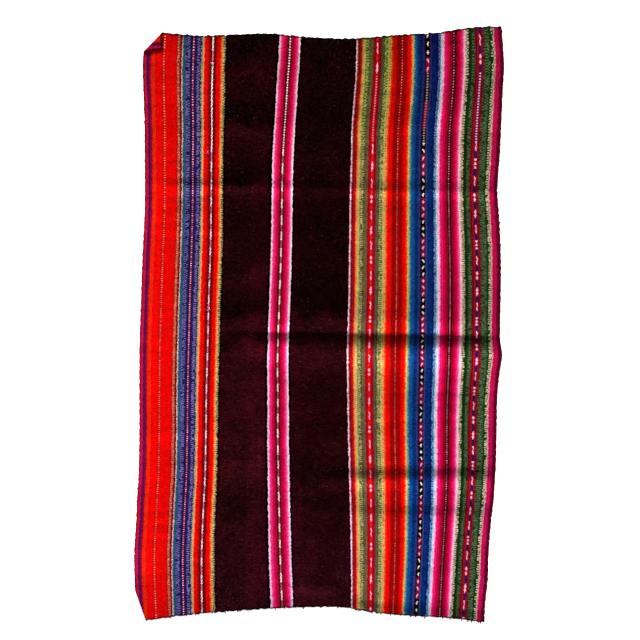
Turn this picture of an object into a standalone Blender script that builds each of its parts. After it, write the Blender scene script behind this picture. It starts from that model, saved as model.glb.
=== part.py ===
"""Aguayo carrying cloth: one woven panel lying flat, with creases, a turned-over corner and a turned-under edge."""
import math
from bisect import bisect_right
from collections import namedtuple

import bmesh
import bpy

MM = 0.001

# The cloth lies on the floor: X runs across its stripes, Y along them and Z is up. Sizes are in millimetres.
THICKNESS = 1.4
SELVAGE_SWELL = 0.35
COLUMNS = 20
NOMINAL_WIDTH = 660
NOMINAL_LENGTH = 1080
OUTLINE_PASSES = 5

# Rows of the grid, by their share of the length. They are closer together at the creases.
Band = namedtuple("Band", "start end rows")
ROW_BANDS = (
    Band(0.0, 0.40, 23),
    Band(0.40, 0.51, 15),
    Band(0.51, 0.64, 8),
    Band(0.64, 0.70, 6),
    Band(0.70, 1.0, 17),
)

# The side selvages, from the far end to the near end: how far each lies from the middle line.
Side = namedtuple("Side", "along left right")
SIDES = (
    Side(551, -321.5, 337.6),
    Side(511, -324.0, 340.3),
    Side(481, -325.9, 342.0),
    Side(433, -324.8, 339.6),
    Side(377, -322.8, 337.1),
    Side(322, -322.4, 334.5),
    Side(248, -321.9, 329.5),
    Side(204, -322.6, 332.5),
    Side(130, -326.3, 335.9),
    Side(52, -329.0, 335.7),
    Side(-26, -331.7, 334.6),
    Side(-56, -332.3, 338.3),
    Side(-89, -332.3, 333.4),
    Side(-133, -332.3, 329.3),
    Side(-215, -332.4, 327.9),
    Side(-285, -334.1, 325.2),
    Side(-326, -336.8, 322.0),
    Side(-363, -338.1, 318.0),
    Side(-418, -341.6, 313.5),
    Side(-470, -340.7, 311.8),
    Side(-511, -338.4, 307.1),
    Side(-551, -336.7, 305.2),
)

# The end selvages, from left to right: how far each lies from the middle.
End = namedtuple("End", "across near far")
ENDS = (
    End(-331, -548.3, 541.7),
    End(-290, -542.1, 540.2),
    End(-224, -534.6, 534.6),
    End(-157, -529.3, 536.5),
    End(-91, -524.8, 538.4),
    End(-24, -522.3, 532.3),
    End(43, -522.3, 529.1),
    End(87, -530.1, 531.0),
    End(154, -537.1, 536.5),
    End(220, -540.8, 540.2),
    End(265, -544.8, 547.6),
    End(309, -550.6, 551.3),
    End(339, -550.6, 551.3),
)

# A crease is a ridge across the cloth. Its crest line leans by lean for each millimetre across, its two slopes have
# their own widths, it fades out towards west and east, and peak 2 gives it a sharp crest, 1 a round one.
Ridge = namedtuple("Ridge", "crest lean height near_slope far_slope west east fade peak")
RIDGES = (
    Ridge(-13, 0.004, 5.2, 34, 36, -300, 350, 190, 2),
    Ridge(-96, -0.01, 3.4, 96, 48, -260, 350, 170, 1),
    Ridge(274, 0.01, 3.2, 24, 84, -350, 350, 120, 1),
    Ridge(226, 0.01, 2.8, 76, 22, -350, 350, 120, 1),
    Ridge(-256, 0.03, 3.0, 28, 64, -60, 350, 130, 1),
    Ridge(-306, 0.03, 2.6, 60, 22, -60, 350, 130, 1),
    Ridge(-352, 0.0, 1.6, 24, 30, 90, 250, 60, 1),
    Ridge(-236, -0.02, 2.2, 44, 40, -345, -40, 90, 1),
    Ridge(398, 0.02, 2.0, 42, 60, -350, 260, 150, 1),
)
EAST_FADE_SHARE = 0.4

# The near end rises a little before it comes down to the floor at its selvage. Its crest is measured from there.
END_ROLL = Ridge(24, 0.0, 2.4, 24, 70, -190, 345, 120, 1)

# Where the cloth is turned back on itself: the fold line's two ends, and whether it goes over (1) or under (-1).
Fold = namedtuple("Fold", "start_x start_y end_x end_y turn")
FAR_LEFT_CORNER = Fold(-321.7, 504.9, -289.3, 538.2, 1)
NEAR_LEFT_EDGE = Fold(-337.4, -492.6, -317.6, -548.1, -1)
FOLD_RADIUS = 1.6
FOLD_CUTS = 6
FOLD_LENGTH = math.pi * FOLD_RADIUS
FLAP_SETTLES_OVER = 16
FLAP_GAP = 0.5
LIFT_STARTS_TO_FALL = 24
LIFT_ENDS = 84


def curve_through(table, key, column):
    """A function that reads the smooth curve through one column of a table."""
    rows = sorted(table, key=lambda row: getattr(row, key))
    places = [getattr(row, key) for row in rows]
    values = [getattr(row, column) for row in rows]
    last = len(rows) - 1

    def slope(index):
        before, after = max(index - 1, 0), min(index + 1, last)
        return (values[after] - values[before]) / (places[after] - places[before])

    def read(at):
        at = min(max(at, places[0]), places[last])
        low = min(bisect_right(places, at) - 1, last - 1)
        step = places[low + 1] - places[low]
        t = (at - places[low]) / step
        leave = values[low] * (1 + 2 * t) * (1 - t) ** 2 + step * slope(low) * t * (1 - t) ** 2
        arrive = values[low + 1] * (3 - 2 * t) * t ** 2 - step * slope(low + 1) * (1 - t) * t ** 2
        return leave + arrive

    return read


left_selvage = curve_through(SIDES, "along", "left")
right_selvage = curve_through(SIDES, "along", "right")
near_selvage = curve_through(ENDS, "across", "near")
far_selvage = curve_through(ENDS, "across", "far")


def ease(t):
    """Rises smoothly from 0 to 1."""
    t = min(max(t, 0.0), 1.0)
    return t * t * (3 - 2 * t)


def on_outline(across, along):
    """The place on the flat panel at a share of its width and of its length."""
    x = (across - 0.5) * NOMINAL_WIDTH
    y = (along - 0.5) * NOMINAL_LENGTH
    for _ in range(OUTLINE_PASSES):
        y = near_selvage(x) + along * (far_selvage(x) - near_selvage(x))
        x = left_selvage(y) + across * (right_selvage(y) - left_selvage(y))
    return x, y


def ridge_height(ridge, x, past_crest):
    """How high a ridge lifts the cloth at a distance from its crest, positive on the far side."""
    slope = ridge.far_slope if past_crest > 0 else ridge.near_slope
    part = 1 - min(abs(past_crest) / slope, 1.0)
    shape = part ** ridge.peak if ridge.peak > 1 else ease(part)
    reach = ease((x - ridge.west) / ridge.fade) * ease((ridge.east - x) / (ridge.fade * EAST_FADE_SHARE))
    return ridge.height * shape * reach


def crease_height(x, y):
    """How far the creases lift the cloth off the floor."""
    height = sum(ridge_height(ridge, x, y - ridge.crest - ridge.lean * x) for ridge in RIDGES)
    return height + ridge_height(END_ROLL, x, y - near_selvage(x) - END_ROLL.crest)


def fold_directions(fold):
    """The unit direction along a fold line, and the one that leads out of the cloth across it, to the left."""
    run_x, run_y = fold.end_x - fold.start_x, fold.end_y - fold.start_y
    length = math.hypot(run_x, run_y)
    side = -1 if run_y > 0 else 1
    return (run_x / length, run_y / length), (side * run_y / length, -side * run_x / length)


def beyond_fold(fold, x, y):
    """How far a place lies beyond the fold line."""
    _, out = fold_directions(fold)
    return (x - fold.start_x) * out[0] + (y - fold.start_y) * out[1]


def fold_back(fold, x, y, offset):
    """Turns a place on the slab around the fold line. offset is its height over the middle of the slab."""
    beyond = beyond_fold(fold, x, y)
    if beyond <= 0:
        return x, y, offset
    _, out = fold_directions(fold)
    angle = min(beyond / FOLD_RADIUS, math.pi)
    past = max(beyond - FOLD_LENGTH, 0.0)
    radius = FOLD_RADIUS - fold.turn * offset
    height = fold.turn * (FOLD_RADIUS - radius * math.cos(angle))
    if fold.turn > 0:
        height -= (2 * FOLD_RADIUS - THICKNESS - FLAP_GAP) * ease(past / FLAP_SETTLES_OVER)
    shift = radius * math.sin(angle) - past - beyond
    return x + out[0] * shift, y + out[1] * shift, height


def lift_over_turned_edge(x, y):
    """How far the cloth is held up by the edge that is turned under it."""
    fold = NEAR_LEFT_EDGE
    along, _ = fold_directions(fold)
    run = (x - fold.start_x) * along[0] + (y - fold.start_y) * along[1]
    away = math.hypot(max(-run, 0.0), min(beyond_fold(fold, x, y), 0.0))
    fall = ease((away - LIFT_STARTS_TO_FALL) / (LIFT_ENDS - LIFT_STARTS_TO_FALL))
    return 2 * FOLD_RADIUS * (1 - fall)


def as_it_lies(x, y, offset):
    """Where a place on the flat slab ends up when the cloth is laid down."""
    lift = lift_over_turned_edge(x, y)
    fold = FAR_LEFT_CORNER if y > 0 else NEAR_LEFT_EDGE
    x, y, height = fold_back(fold, x, y, offset)
    return x, y, height + lift + crease_height(x, y)


def row_share(row):
    """The share of the length at which a row of the grid lies."""
    for band in ROW_BANDS:
        if row <= band.rows:
            return band.start + (band.end - band.start) * row / band.rows
        row -= band.rows
    return 1.0


def flat_sheet():
    """The panel as one flat layer, with lines cut along each fold so that it can bend there."""
    rows = sum(band.rows for band in ROW_BANDS)
    sheet = bmesh.new()
    bmesh.ops.create_grid(sheet, x_segments=COLUMNS, y_segments=rows, size=0.5)
    for vertex in sheet.verts:
        share = row_share(round((vertex.co.y + 0.5) * rows))
        vertex.co.x, vertex.co.y = on_outline(vertex.co.x + 0.5, share)
    for fold in (FAR_LEFT_CORNER, NEAR_LEFT_EDGE):
        _, out = fold_directions(fold)
        for cut in range(FOLD_CUTS + 1):
            beyond = FOLD_LENGTH * cut / FOLD_CUTS
            bmesh.ops.bisect_plane(
                sheet,
                geom=sheet.verts[:] + sheet.edges[:] + sheet.faces[:],
                plane_co=(fold.start_x + out[0] * beyond, fold.start_y + out[1] * beyond, 0.0),
                plane_no=(out[0], out[1], 0.0),
            )
    return sheet


def thicken(sheet):
    """Gives the sheet its thickness, with selvages that swell out halfway up."""
    grown = bmesh.ops.extrude_face_region(sheet, geom=sheet.faces[:])
    raised = [item for item in grown["geom"] if isinstance(item, bmesh.types.BMVert)]
    bmesh.ops.translate(sheet, verts=raised, vec=(0.0, 0.0, THICKNESS))
    uprights = [edge for edge in sheet.edges if edge.verts[0].co.z != edge.verts[1].co.z]
    bmesh.ops.subdivide_edges(sheet, edges=uprights, cuts=1)
    bmesh.ops.recalc_face_normals(sheet, faces=sheet.faces[:])
    sheet.normal_update()
    for vertex in sheet.verts:
        if 0.25 * THICKNESS < vertex.co.z < 0.75 * THICKNESS:
            vertex.co += vertex.normal * SELVAGE_SWELL


def lay_down(slab):
    """Folds and creases the slab, and puts its box's middle over the origin with its underside on the floor."""
    laid = [as_it_lies(vertex.co.x, vertex.co.y, vertex.co.z - THICKNESS / 2) for vertex in slab.verts]
    middle_x = (min(place[0] for place in laid) + max(place[0] for place in laid)) / 2
    middle_y = (min(place[1] for place in laid) + max(place[1] for place in laid)) / 2
    for vertex, (x, y, height) in zip(slab.verts, laid):
        vertex.co = ((x - middle_x) * MM, (y - middle_y) * MM, (height + THICKNESS / 2) * MM)


def wool():
    """Dark red wool, the colour of the plain fields between the stripes."""
    material = bpy.data.materials.new("aguayo_cloth")
    material.use_nodes = True
    shader = material.node_tree.nodes["Principled BSDF"]
    shader.inputs["Base Color"].default_value = (0.065, 0.008, 0.014, 1.0)
    shader.inputs["Roughness"].default_value = 0.92
    shader.inputs["Metallic"].default_value = 0.0
    return material


def aguayo_cloth():
    slab = flat_sheet()
    thicken(slab)
    bmesh.ops.triangulate(slab, faces=slab.faces[:])
    lay_down(slab)
    mesh = bpy.data.meshes.new("aguayo_cloth")
    slab.to_mesh(mesh)
    slab.free()
    mesh.shade_smooth()
    mesh.materials.append(wool())
    cloth = bpy.data.objects.new("aguayo_cloth", mesh)
    bpy.context.scene.collection.objects.link(cloth)


for leftover in list(bpy.data.objects):
    bpy.data.objects.remove(leftover, do_unlink=True)
aguayo_cloth()
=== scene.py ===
"""Aguayo carrying cloth, laid out flat: the woven panel with its stripes, and its loose yarn ends."""

import math
from collections import namedtuple

import bmesh
import bpy
import numpy as np
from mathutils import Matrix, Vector, noise


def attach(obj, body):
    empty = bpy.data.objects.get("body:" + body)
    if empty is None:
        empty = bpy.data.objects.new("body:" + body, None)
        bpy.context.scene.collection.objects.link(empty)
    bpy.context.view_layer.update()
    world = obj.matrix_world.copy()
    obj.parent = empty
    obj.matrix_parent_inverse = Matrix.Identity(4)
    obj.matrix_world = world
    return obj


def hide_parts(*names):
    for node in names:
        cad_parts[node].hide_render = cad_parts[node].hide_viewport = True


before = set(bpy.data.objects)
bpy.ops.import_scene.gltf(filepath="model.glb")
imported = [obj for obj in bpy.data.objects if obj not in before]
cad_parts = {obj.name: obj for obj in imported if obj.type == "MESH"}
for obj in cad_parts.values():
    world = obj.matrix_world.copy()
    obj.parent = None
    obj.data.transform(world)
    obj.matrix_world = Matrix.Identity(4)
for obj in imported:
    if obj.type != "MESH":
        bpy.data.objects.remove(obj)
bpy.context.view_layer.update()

MM = 0.001

# The cloth as it lies, in millimetres, as in the solid: X across the stripes, Y along them.
THICKNESS = 1.4
SELVAGE_SWELL = 0.5
SELVAGE_RINGS = 3
COLUMNS = 168
ROWS = 262
NOMINAL_WIDTH = 660
NOMINAL_LENGTH = 1080
OUTLINE_PASSES = 5

Side = namedtuple("Side", "along left right")
# These rows were printed by a program from points picked in the photograph.
SIDES = (
    Side(551, -321.5, 337.6),
    Side(511, -324.0, 340.3),
    Side(481, -325.9, 342.0),
    Side(433, -324.8, 339.6),
    Side(377, -322.8, 337.1),
    Side(322, -322.4, 334.5),
    Side(248, -321.9, 329.5),
    Side(204, -322.6, 332.5),
    Side(130, -326.3, 335.9),
    Side(52, -329.0, 335.7),
    Side(-26, -331.7, 334.6),
    Side(-56, -332.3, 338.3),
    Side(-89, -332.3, 333.4),
    Side(-133, -332.3, 329.3),
    Side(-215, -332.4, 327.9),
    Side(-285, -334.1, 325.2),
    Side(-326, -336.8, 322.0),
    Side(-363, -338.1, 318.0),
    Side(-418, -341.6, 313.5),
    Side(-470, -340.7, 311.8),
    Side(-511, -338.4, 307.1),
    Side(-551, -336.7, 305.2),
)

End = namedtuple("End", "across near far")
# These rows were printed by a program from points picked in the photograph.
ENDS = (
    End(-331, -548.3, 541.7),
    End(-290, -542.1, 540.2),
    End(-224, -534.6, 534.6),
    End(-157, -529.3, 536.5),
    End(-91, -524.8, 538.4),
    End(-24, -522.3, 532.3),
    End(43, -522.3, 529.1),
    End(87, -530.1, 531.0),
    End(154, -537.1, 536.5),
    End(220, -540.8, 540.2),
    End(265, -544.8, 547.6),
    End(309, -550.6, 551.3),
    End(339, -550.6, 551.3),
)

# Six warp lines that wander as the cloth was beaten and washed: where each lies at a distance along the cloth.
Warp = namedtuple("Warp", "along cord field_edge chain edge_line ladder comb")
# These rows were printed by a program from places picked and measured in the photograph.
WARPS = (
    Warp(538, -197.0, -170.1, -53.6, 69.9, 200.2, 270.6),
    Warp(488, -198.0, -171.7, -56.2, 69.1, 200.3, 270.6),
    Warp(451, -199.2, -172.2, -59.2, 67.2, 199.6, 269.4),
    Warp(414, -199.8, -172.7, -61.4, 64.1, 197.6, 266.4),
    Warp(363, -199.4, -174.6, -64.9, 60.6, 193.4, 262.4),
    Warp(311, -200.0, -176.0, -67.9, 59.5, 192.0, 260.6),
    Warp(259, -200.4, -176.4, -69.3, 57.8, 191.6, 259.8),
    Warp(207, -200.9, -176.6, -70.1, 56.7, 191.4, 260.6),
    Warp(130, -202.4, -177.4, -71.6, 55.9, 191.5, 263.2),
    Warp(52, -205.2, -180.6, -74.2, 54.9, 191.5, 264.2),
    Warp(-26, -206.9, -182.4, -77.0, 52.4, 190.1, 262.9),
    Warp(-78, -208.4, -183.6, -78.0, 51.8, 188.9, 260.9),
    Warp(-130, -209.8, -185.5, -77.3, 52.5, 187.6, 258.4),
    Warp(-207, -210.6, -185.8, -77.5, 54.0, 187.3, 256.9),
    Warp(-285, -212.4, -187.3, -76.2, 56.2, 187.9, 255.8),
    Warp(-363, -216.4, -191.3, -74.6, 58.3, 186.5, 252.1),
    Warp(-440, -218.8, -191.9, -72.5, 59.4, 183.8, 246.9),
    Warp(-529, -218.0, -190.5, -68.7, 59.8, 179.0, 241.8),
)

# A row is two picks of weft. Rows are longer towards the two ends of the cloth, and one crease hides a few.
Beat = namedtuple("Beat", "along row_length")
BEATS = (
    Beat(551, 5.26),
    Beat(462, 5.14),
    Beat(388, 4.96),
    Beat(314, 4.64),
    Beat(263, 4.48),
    Beat(190, 4.02),
    Beat(105, 4.08),
    Beat(24, 3.84),
    Beat(-26, 3.3),
    Beat(-78, 3.86),
    Beat(-159, 3.81),
    Beat(-239, 3.94),
    Beat(-322, 3.94),
    Beat(-390, 3.9),
    Beat(-464, 4.36),
    Beat(-551, 4.44),
)
WOVEN_ROW = 4.2

# A crease is a ridge across the cloth. Its crest line leans by lean for each millimetre across, its two
# slopes have their own widths, it fades out towards west and east, and peak 2 gives it a sharp crest, 1 a
# round one.
Ridge = namedtuple("Ridge", "crest lean height near_slope far_slope west east fade peak")
RIDGES = (
    Ridge(-14, -0.018, 7.0, 27, 30, -210, 350, 150, 2),
    Ridge(-84, -0.01, 7.6, 92, 48, -160, 350, 190, 1),
    Ridge(270, -0.02, 2.4, 20, 84, -350, 350, 120, 1),
    Ridge(234, -0.02, 2.4, 76, 18, -350, 350, 120, 1),
    Ridge(-264, 0.01, 4.6, 22, 60, -60, 350, 130, 1),
    Ridge(-312, 0.01, 3.4, 46, 26, -60, 350, 130, 1),
    Ridge(-337, 0.0, 1.6, 17, 26, 40, 350, 100, 1),
    Ridge(-236, -0.02, 2.2, 40, 36, -345, -40, 90, 1),
    Ridge(398, 0.02, 2.0, 38, 60, -350, 260, 150, 1),
)
EAST_FADE_SHARE = 0.4
END_ROLL = Ridge(24, 0.0, 2.6, 24, 70, -190, 345, 120, 1)

Fold = namedtuple("Fold", "start_x start_y end_x end_y turn")
FAR_LEFT_CORNER = Fold(-321.7, 504.9, -289.3, 538.2, 1)
NEAR_LEFT_EDGE = Fold(-337.4, -492.6, -317.6, -548.1, -1)
FOLD_RADIUS = 1.6
FOLD_CUTS = 8
FOLD_LENGTH = math.pi * FOLD_RADIUS
FLAP_SETTLES_OVER = 16
FLAP_GAP = 0.5
LIFT_STARTS_TO_FALL = 24
LIFT_ENDS = 84

# Small unevenness of handspun cloth: puckers and dimples, each with its reach across and along the cloth, and
# edges that step in and out. Each has a layer of the noise, and each edge a lane of its layer.
PUCKER_HEIGHT = 0.75
PUCKER_REACH = (95.0, 13.0)
PUCKER_LAYER = 0.0
DIMPLE_SHARE = 0.6
DIMPLE_REACH = (31.0, 24.0)
DIMPLE_LAYER = 7.0
SELVAGE_STEP = 1.8
SELVAGE_STEP_LENGTH = 6.0
SELVAGE_LANES = (0.0, 5.0)
SELVAGE_LAYER = 3.0
END_STEP = 3.2
END_STEP_LENGTH = 6.5
END_LANES = (11.0, 17.0)
END_LAYER = 5.0
STEP_DEPTH = 9.0

# Dyes, as red, green and blue out of 255 in daylight.
DYES = {
    "white": (246, 230, 238),
    "snow": (296, 256, 262),
    "bone": (225, 168, 160),
    "steel": (122, 118, 124),
    "blush": (262, 176, 212),
    "petal": (276, 180, 214),
    "shell": (318, 216, 252),
    "dim rose": (244, 132, 152),
    "thread pink": (266, 184, 202),
    "rose": (250, 94, 160),
    "hot pink": (229, 48, 122),
    "fuchsia": (234, 22, 116),
    "magenta": (226, 24, 98),
    "crimson": (208, 4, 64),
    "carmine": (184, 4, 48),
    "cherry": (200, 12, 58),
    "cerise": (186, 12, 76),
    "ruby": (146, 4, 38),
    "garnet": (146, 12, 36),
    "madder": (170, 12, 24),
    "claret": (100, 6, 22),
    "oxblood": (78, 4, 16),
    "scarlet": (238, 4, 2),
    "red": (228, 4, 3),
    "deep red": (156, 2, 5),
    "brick": (190, 12, 8),
    "rust": (150, 38, 32),
    "wine": (108, 6, 10),
    "flame": (236, 38, 12),
    "orange": (224, 92, 30),
    "gold": (242, 164, 72),
    "straw": (218, 184, 104),
    "apricot": (226, 158, 108),
    "salmon": (240, 120, 94),
    "ember": (320, 150, 124),
    "tan": (226, 120, 92),
    "copper": (172, 70, 52),
    "cream": (228, 196, 178),
    "beige": (206, 184, 158),
    "ecru": (246, 238, 216),
    "fawn": (164, 132, 108),
    "olive": (176, 168, 102),
    "lichen": (84, 82, 34),
    "moss": (106, 102, 66),
    "ivy": (58, 60, 26),
    "bark": (108, 62, 50),
    "sage": (166, 160, 114),
    "sea": (116, 164, 156),
    "teal": (32, 84, 110),
    "petrol": (28, 74, 112),
    "royal": (14, 90, 152),
    "blue": (6, 58, 124),
    "navy": (10, 48, 114),
    "midnight": (4, 28, 88),
    "sky": (108, 156, 206),
    "pale blue": (142, 168, 186),
    "violet": (108, 96, 162),
    "indigo": (22, 18, 66),
    "night violet": (46, 18, 76),
    "denim": (54, 56, 104),
    "slate": (28, 27, 84),
    "lavender": (130, 110, 168),
    "damson": (124, 12, 62),
    "mulberry": (150, 26, 86),
    "plum": (100, 8, 64),
    "aubergine": (38, 14, 54),
    "pine": (8, 46, 10),
    "forest": (34, 42, 20),
    "fern": (84, 104, 70),
    "leaf": (20, 62, 24),
    "purple wine": (100, 2, 26),
    "dusty pink": (194, 100, 106),
    "maroon": (34, 3, 6),
    "light maroon": (40, 3, 8),
    "black": (8, 2, 3),
}
DAYLIGHT = 1.7


# The warp from the left selvage to the right one: a dye, how many yarns, and the second dye where two colours
# take turns from shed to shed and make small crosswise ticks. Dyes and places were chosen from averages of
# the photograph's columns, and a program turned the places into numbers of yarns.
Stripe = namedtuple("Stripe", "dye yarns tick", defaults=(None,))
WARP_CHART = tuple(Stripe(*stripe) for stripe in (
    # The left selvage and the red stripes next to it.
    ("garnet", 2), ("cherry", 3), ("mulberry", 2), ("plum", 4), ("damson", 2), ("garnet", 1), ("brick", 1),
    ("flame", 7), ("scarlet", 12), ("red", 2), ("brick", 6), ("red", 21), ("brick", 2),
    ("brick", 1, "rust"), ("tan", 4, "copper"), ("rust", 1), ("wine", 3), ("cream", 2, "bone"),
    ("steel", 1, "teal"),
    # Teal and violet stripes.
    ("teal", 5, "petrol"), ("violet", 8, "indigo"), ("slate", 2), ("aubergine", 3), ("plum", 4),
    ("aubergine", 2), ("slate", 3), ("violet", 1, "slate"), ("lavender", 4, "slate"),
    ("violet", 1, "slate"), ("slate", 2), ("sage", 1, "slate"),
    # Red stripes on both sides of the cord.
    ("sage", 2, "steel"), ("sage", 1, "apricot"), ("gold", 2, "apricot"), ("flame", 1), ("scarlet", 6),
    ("brick", 2), ("deep red", 2), ("wine", 11), ("deep red", 2), ("brick", 1), ("scarlet", 6),
    ("flame", 1), ("orange", 1), ("gold", 1, "orange"), ("gold", 2, "salmon"), ("straw", 2, "moss"),
    ("sage", 2, "bark"), ("moss", 1, "black"),
    # The left dark field.
    ("black", 3), ("maroon", 53), ("light maroon", 34), ("maroon", 1),
    # Pink stripes on both sides of the chain.
    ("black", 5), ("white", 1), ("blush", 2), ("rose", 1), ("hot pink", 3), ("magenta", 2), ("crimson", 3),
    ("carmine", 2), ("garnet", 1), ("claret", 9), ("garnet", 2), ("ruby", 1), ("carmine", 2),
    ("crimson", 3), ("magenta", 2), ("hot pink", 2), ("rose", 2), ("blush", 2), ("white", 1),
    # The right dark field.
    ("black", 4), ("light maroon", 19), ("maroon", 90), ("black", 2),
    # Gold and olive stripes around the figure band.
    ("white", 2, "blush"), ("dusty pink", 1), ("dusty pink", 1, "wine"), ("wine", 2), ("garnet", 1),
    ("madder", 4), ("brick", 1, "orange"), ("orange", 1), ("gold", 2, "salmon"), ("gold", 2, "apricot"),
    ("straw", 2, "olive"), ("sage", 2, "moss"), ("olive", 5, "lichen"), ("olive", 1, "ivy"),
    ("moss", 3, "ivy"), ("moss", 3, "bark"), ("bark", 2, "moss"), ("rust", 1), ("garnet", 2), ("madder", 3),
    ("red", 6), ("ruby", 3), ("garnet", 2), ("bark", 2), ("moss", 2, "bark"), ("forest", 2, "fern"),
    ("moss", 1, "ivy"), ("olive", 2, "moss"), ("olive", 5, "lichen"), ("straw", 3, "olive"),
    ("straw", 2, "orange"), ("gold", 2, "salmon"), ("orange", 1),
    # Red stripes.
    ("orange", 1, "flame"), ("flame", 2), ("scarlet", 6), ("red", 1), ("brick", 2), ("deep red", 20),
    ("brick", 1), ("red", 2), ("scarlet", 4), ("flame", 1), ("orange", 2, "flame"), ("gold", 1, "orange"),
    ("straw", 2, "gold"),
    # Blue stripes around the seed band.
    ("sage", 2, "sea"), ("sea", 2, "teal"), ("teal", 2), ("royal", 5, "blue"), ("blue", 2),
    ("navy", 6, "midnight"), ("denim", 4, "navy"), ("aubergine", 2), ("black", 9), ("denim", 3),
    ("navy", 10, "midnight"), ("midnight", 4),
    # Pale blue, white and pink stripes.
    ("sky", 4, "petrol"), ("pale blue", 2, "sky"), ("pale blue", 1, "white"), ("white", 2, "pale blue"),
    ("blush", 1, "white"), ("blush", 2), ("rose", 1), ("fuchsia", 4), ("magenta", 1), ("crimson", 4),
    ("carmine", 2), ("ruby", 2), ("garnet", 2), ("claret", 1), ("oxblood", 8), ("garnet", 1), ("ruby", 3),
    ("carmine", 2), ("crimson", 3), ("magenta", 2), ("hot pink", 2), ("rose", 2), ("blush", 2),
    ("cream", 2, "blush"), ("beige", 2, "fawn"),
    # Green stripes around the block band.
    ("beige", 3, "lichen"), ("beige", 1, "forest"), ("forest", 1), ("pine", 4), ("leaf", 2),
    ("fern", 5, "forest"), ("bark", 2, "forest"), ("wine", 3), ("garnet", 11), ("wine", 2),
    ("bark", 2, "oxblood"), ("bark", 2, "forest"), ("fern", 4, "forest"), ("fern", 5, "leaf"), ("leaf", 2),
    ("pine", 2), ("beige", 3, "leaf"), ("beige", 2, "lichen"),
    # Pink stripes and the right selvage.
    ("dusty pink", 2, "beige"), ("rose", 1, "cherry"), ("cerise", 8), ("damson", 2), ("purple wine", 6),
    ("oxblood", 2),
))
YARN = 0.925
RAMP_STOPS = 30


def curve_through(table, key, column):
    """A function that reads the smooth curve through one column of a table, at one place or many."""
    rows = sorted(table, key=lambda row: getattr(row, key))
    places = np.array([getattr(row, key) for row in rows], float)
    values = np.array([getattr(row, column) for row in rows], float)
    last = len(rows) - 1
    before = np.maximum(np.arange(last + 1) - 1, 0)
    after = np.minimum(np.arange(last + 1) + 1, last)
    slopes = (values[after] - values[before]) / (places[after] - places[before])

    def read(at):
        at = np.clip(at, places[0], places[last])
        low = np.clip(np.searchsorted(places, at, side="right") - 1, 0, last - 1)
        step = places[low + 1] - places[low]
        t = (at - places[low]) / step
        leave = values[low] * (1 + 2 * t) * (1 - t) ** 2 + step * slopes[low] * t * (1 - t) ** 2
        arrive = values[low + 1] * (3 - 2 * t) * t ** 2 - step * slopes[low + 1] * (1 - t) * t ** 2
        return leave + arrive

    return read


left_selvage = curve_through(SIDES, "along", "left")
right_selvage = curve_through(SIDES, "along", "right")
near_selvage = curve_through(ENDS, "across", "near")
far_selvage = curve_through(ENDS, "across", "far")
warp_lines = [curve_through(WARPS, "along", name) for name in Warp._fields[1:]]


def ease(t):
    t = np.clip(t, 0.0, 1.0)
    return t * t * (3 - 2 * t)


def on_outline(across, along):
    """Places on the flat panel at shares of its width and of its length."""
    x = (across - 0.5) * NOMINAL_WIDTH
    y = (along - 0.5) * NOMINAL_LENGTH
    for _ in range(OUTLINE_PASSES):
        y = near_selvage(x) + along * (far_selvage(x) - near_selvage(x))
        x = left_selvage(y) + across * (right_selvage(y) - left_selvage(y))
    return x, y


# Where each warp line and selvage is in the warp chart, in yarns.
LINE_YARNS = (-0.6, 133.2, 160.5, 274.2, 411.6, 558.6, 636.6, 714.4)


def warp_place(x, y):
    """How many yarns from the left selvage a place on the flat panel is."""
    lines = [left_selvage(y)] + [line(y) for line in warp_lines] + [right_selvage(y)]
    yarns = np.zeros_like(x)
    for low in range(len(lines) - 1):
        share = (x - lines[low]) / (lines[low + 1] - lines[low])
        inside = LINE_YARNS[low] + share * (LINE_YARNS[low + 1] - LINE_YARNS[low])
        within = (x >= lines[low]) if low else np.ones_like(x, bool)
        yarns = np.where(within, inside, yarns)
    return yarns


row_length = curve_through(BEATS, "along", "row_length")
ALONG_REACH = 560
ALONG_STEPS = np.linspace(-ALONG_REACH, ALONG_REACH, 2 * ALONG_REACH + 1)
ROWS_WOVEN = np.concatenate(([0.0], np.cumsum(1.0 / row_length(ALONG_STEPS[1:] - 0.5))))


def row_at(along):
    """How many rows lie between the near end and a distance along the cloth."""
    return np.interp(along, ALONG_STEPS, ROWS_WOVEN)


def weft_place(x, y):
    """The row of a place on the flat panel, counted from the far end. Rows follow the ends of the cloth."""
    share = (y - near_selvage(x)) / (far_selvage(x) - near_selvage(x))
    return row_at(NOMINAL_LENGTH / 2) - row_at((share - 0.5) * NOMINAL_LENGTH)


def ridge_height(ridge, x, past_crest):
    """How high a ridge lifts the cloth at a distance from its crest, positive on the far side."""
    slope = np.where(past_crest > 0, ridge.far_slope, ridge.near_slope)
    part = 1 - np.minimum(np.abs(past_crest) / slope, 1.0)
    shape = part ** ridge.peak if ridge.peak > 1 else ease(part)
    reach = ease((x - ridge.west) / ridge.fade) * ease((ridge.east - x) / (ridge.fade * EAST_FADE_SHARE))
    return ridge.height * shape * reach


def rough(x, y, layer):
    """Smooth noise at many places. Each layer is a noise of its own."""
    return np.array([noise.noise(Vector((a, b, layer))) for a, b in zip(x, y)])


def puckers(x, y):
    """Small lifts that run across the cloth."""
    lifts = rough(x / PUCKER_REACH[0], y / PUCKER_REACH[1], PUCKER_LAYER)
    dimples = rough(x / DIMPLE_REACH[0], y / DIMPLE_REACH[1], DIMPLE_LAYER)
    return PUCKER_HEIGHT * np.maximum(lifts + DIMPLE_SHARE * dimples, 0.0)


def crease_height(x, y):
    """How far the creases and puckers lift the cloth off the floor."""
    height = sum(ridge_height(ridge, x, y - ridge.crest - ridge.lean * x) for ridge in RIDGES)
    return height + ridge_height(END_ROLL, x, y - near_selvage(x) - END_ROLL.crest) + puckers(x, y)


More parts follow.
